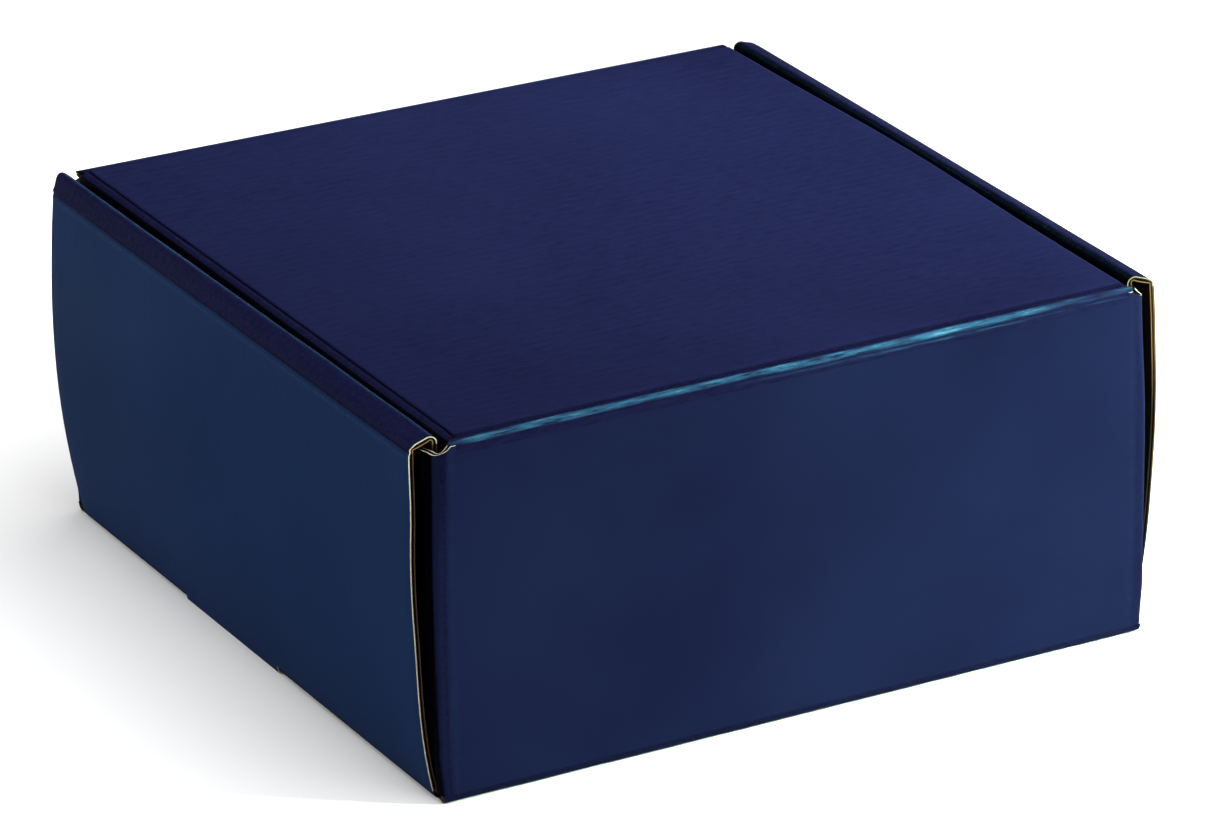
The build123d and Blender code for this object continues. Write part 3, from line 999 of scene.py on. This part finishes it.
def make_side_crease(sign):
    """The left or right side crease of the lid, as on the right-hand side."""
    pile = Pile()

    def surface(s, y):
        x, z = drop_path.at(s)
        return on_lid(sign * (x + side_bow(sign, y) * ramp(s, 0, 2 * MM)), y, z) * (sign, 1, 1)

    pile.board(
        surface,
        samples(0, drop_path.length, FINE_STEP),
        fluted(SIDE_START, FLAT_FRONT),
        lambda s, y: y,
        crush=lambda s, y: 1 - 0.25 * hump(s - DROP_BEND, 1.0 * MM),
        # painted shade as on the lid, and black where the crease turns down
        fold=lambda s, y: np.maximum(lid_fold(sign * (FLAT_HALF + s), y), ramp(s, DROP_BEND, DROP_BEND + MM)),
        relief=lambda s, y: lid_relief(sign * (FLAT_HALF + s), y),
        seams=(0, 1, 2, 3),
    )
    return pile


def make_side_flap(sign):
    """The left or right side flap of the lid, as on the right-hand side."""
    pile = Pile()
    depth = FLAP_TOP - flap_low.z

    def surface(t, share):
        below = t + STRIP
        cut = corner_cut(depth - t, FLAP_CORNER)
        rear = flap_low.y + FLAP_TAPER * below / (depth + STRIP) + cut
        front = flap_high.y - FLAP_MITRE * below - cut
        y = rear + (share - flap_low.y) / (flap_high.y - flap_low.y) * (front - rear)
        return on_lid(sign * (DROP_X + side_bow(sign, y)), y, FLAP_TOP - t) * (sign, 1, 1)

    spread = depth * np.sin(np.linspace(0, math.pi / 2, 14))
    pile.board(surface, spread, fluted(flap_low.y, flap_high.y), lambda t, share: surface(t, share)[..., 1])
    return pile


for side, sign in SIDES:
    body = f"lid_flap_{side}"
    node = f"lid_side_crease_{side}"
    crease = make_side_crease(sign)
    bending(f"{node}_board", crease, print_lid_lit_tone, [node], mirrored=sign < 0)
    node = f"lid_side_flap_{side}"
    rigid(f"{node}_board", make_side_flap(sign), print_lid_lit_tone, body, [node], mirrored=sign < 0)

# Tuck crease and flap
out = np.array((math.cos(TUCK_LEAN), -math.sin(TUCK_LEAN)))  # the tuck flap's outward normal, in Y and Z
down = np.array((-math.sin(TUCK_LEAN), -math.cos(TUCK_LEAN)))
tuck_root = np.array((LID_FRONT, LID_UNDER)) + out * BOARD / 2
tuck_corner = tuck_root - down * (LID_MID - tuck_root[1]) / math.cos(TUCK_LEAN)
tuck_path = Path(rounded([(FLAT_FRONT, LID_MID), tuck_corner, tuck_root + down * STRIP], CREASE_RADIUS))
TUCK_BEND = tuck_path.length / 2
TUCK_HALF = tuck_high.x - 1.5 * MM  # narrower than its slab, to clear the lid's folded side creases
TUCK_DEPTH = (tuck_root[1] - tuck_low.z) / math.cos(TUCK_LEAN) - STRIP
EDGE_REACH = 1.4 * MM  # the lid's front edge reaches this much further at its left end


def tuck_strip(x, s):
    """The front crease: as wide as the lid, then as narrow as the flap, whose foot lies square again."""
    y, z = tuck_path.at(s)
    past = ramp(s, TUCK_BEND, TUCK_BEND + MM)
    narrowed = x * (1 - (LID_HALF - TUCK_HALF) / LID_HALF * past)
    along = narrowed - EDGE_REACH * ease(-x / LID_HALF) * (1 - past)
    square = 1 - ease((tuck_path.length - s) / (2.5 * MM))
    return on_lid(along, y, z) + vec(0, SKEW * along * square, 0)


def tuck_fold(x, s):
    """Painted shade: a dark bend, and black ends."""
    ends = ramp(abs(x), LID_HALF - 2.5 * MM, LID_HALF - 1.5 * MM)
    return 1.2 * hump(s - TUCK_BEND, 1.0 * MM) + BLACK * ends


crease = Pile()
crease.board(
    tuck_strip,
    samples(-LID_HALF, LID_HALF, 6 * MM),
    samples(0, tuck_path.length, CREASE_STEP),
    lambda x, s: FLAT_FRONT + s,
    crush=lambda x, s: 1 - 0.28 * hump(s - TUCK_BEND, 1.1 * MM),
    fold=tuck_fold,
    wear_and_highlight=lambda x, s: 0.15 * hump(s - TUCK_BEND, 0.5 * MM),
    seams=(0, 1, 2, 3),
)
node = "tuck_crease"
bending(f"{node}_board", crease, print_lid_lit_tone, [node], inside=shaded_papers)


def tuck_sheet(share, t):
    y, z = tuck_root + down * STRIP
    cut = corner_cut(TUCK_DEPTH - t, TUCK_CORNER)
    half = TUCK_HALF - TUCK_TAPER * t / TUCK_DEPTH - cut
    moved = on_lid(0, LID_FRONT, 0) - (0, LID_FRONT, 0)
    return moved + vec(share * half / TUCK_HALF, y + t * down[0], z + t * down[1])


tuck = Pile()
round_off = TUCK_DEPTH - TUCK_CORNER * (1 - np.sin(np.linspace(0, math.pi / 2, 14)))
tuck_rows = np.concatenate([fluted(0, TUCK_DEPTH - TUCK_CORNER)[:-1], round_off])
tuck.board(tuck_sheet, samples(-TUCK_HALF, TUCK_HALF, 8 * MM), tuck_rows, lambda x, t: t)
rigid("tuck_flap_board", tuck, print_lid_lit_tone, "tuck", ["tuck_flap"])


# Floor, lights and camera -------------------------------------------------------------------------------
def make_floor():
    mesh = bpy.data.meshes.new("floor")
    size = 6.0
    corners = [(-size, -size, 0), (size, -size, 0), (size, size, 0), (-size, size, 0)]
    mesh.from_pydata(corners, [], [(0, 1, 2, 3)])
    floor = bpy.data.objects.new("floor", mesh)
    bpy.context.scene.collection.objects.link(floor)
    material, tree, shader, _ = new_material("pale_floor")
    shader.inputs["Base Color"].default_value = (0.93, 0.93, 0.93, 1)
    shader.inputs["Roughness"].default_value = 0.9
    shader.inputs["Specular IOR Level"].default_value = 0.1
    mesh.materials.append(material)


def add_softbox(name, direction, distance, size, power, target=(0, 0), colour=(1, 1, 1), spread=180):
    """A square area light that faces a place on the lid's top. spread is its beam's angle in degrees."""
    light = bpy.data.lights.new(name, "AREA")
    light.size = size
    light.energy = power
    light.color = colour
    light.spread = math.radians(spread)
    lamp = bpy.data.objects.new(name, light)
    away = Vector(direction).normalized()
    lamp.location = Vector((*target, LID_MID)) + away * distance
    lamp.rotation_euler = away.to_track_quat("Z", "Y").to_euler()
    bpy.context.scene.collection.objects.link(lamp)


make_floor()
add_softbox("overhead", (0.15, -0.25, 0.95), 2.2, 2.6, 74)
add_softbox("left_fill", (-0.65, 0.75, 0.35), 2.2, 1.6, 44)
key_aim, key_colour = (0.14, -0.02), (0.76, 1.0, 0.8)
add_softbox("key", (0.6, -0.57, 0.55), 0.9, 0.28, 1.7, key_aim, key_colour, 27)
world = bpy.data.worlds.new("studio")
bpy.context.scene.world = world
world.use_nodes = True
world.node_tree.nodes["Background"].inputs["Color"].default_value = (1, 1, 1, 1)
world.node_tree.nodes["Background"].inputs["Strength"].default_value = 0.03
bpy.context.scene.view_settings.view_transform = "Standard"

CAMERA_PLACE = (-0.8590, -1.5783, 0.8070)
CAMERA_YAW, CAMERA_PITCH, CAMERA_ROLL = (math.radians(a) for a in (28.640, 23.057, -0.745))


def make_camera():
    data = bpy.data.cameras.new("camera")
    data.sensor_width = 36
    data.lens = 226.2
    data.clip_end = 30
    camera = bpy.data.objects.new("camera", data)
    turn = Matrix.Rotation(-CAMERA_YAW, 4, "Z") @ Matrix.Rotation(math.pi / 2 - CAMERA_PITCH, 4, "X")
    camera.matrix_world = Matrix.Translation(CAMERA_PLACE) @ turn @ Matrix.Rotation(CAMERA_ROLL, 4, "Z")
    bpy.context.scene.collection.objects.link(camera)
    bpy.context.scene.camera = camera


make_camera()
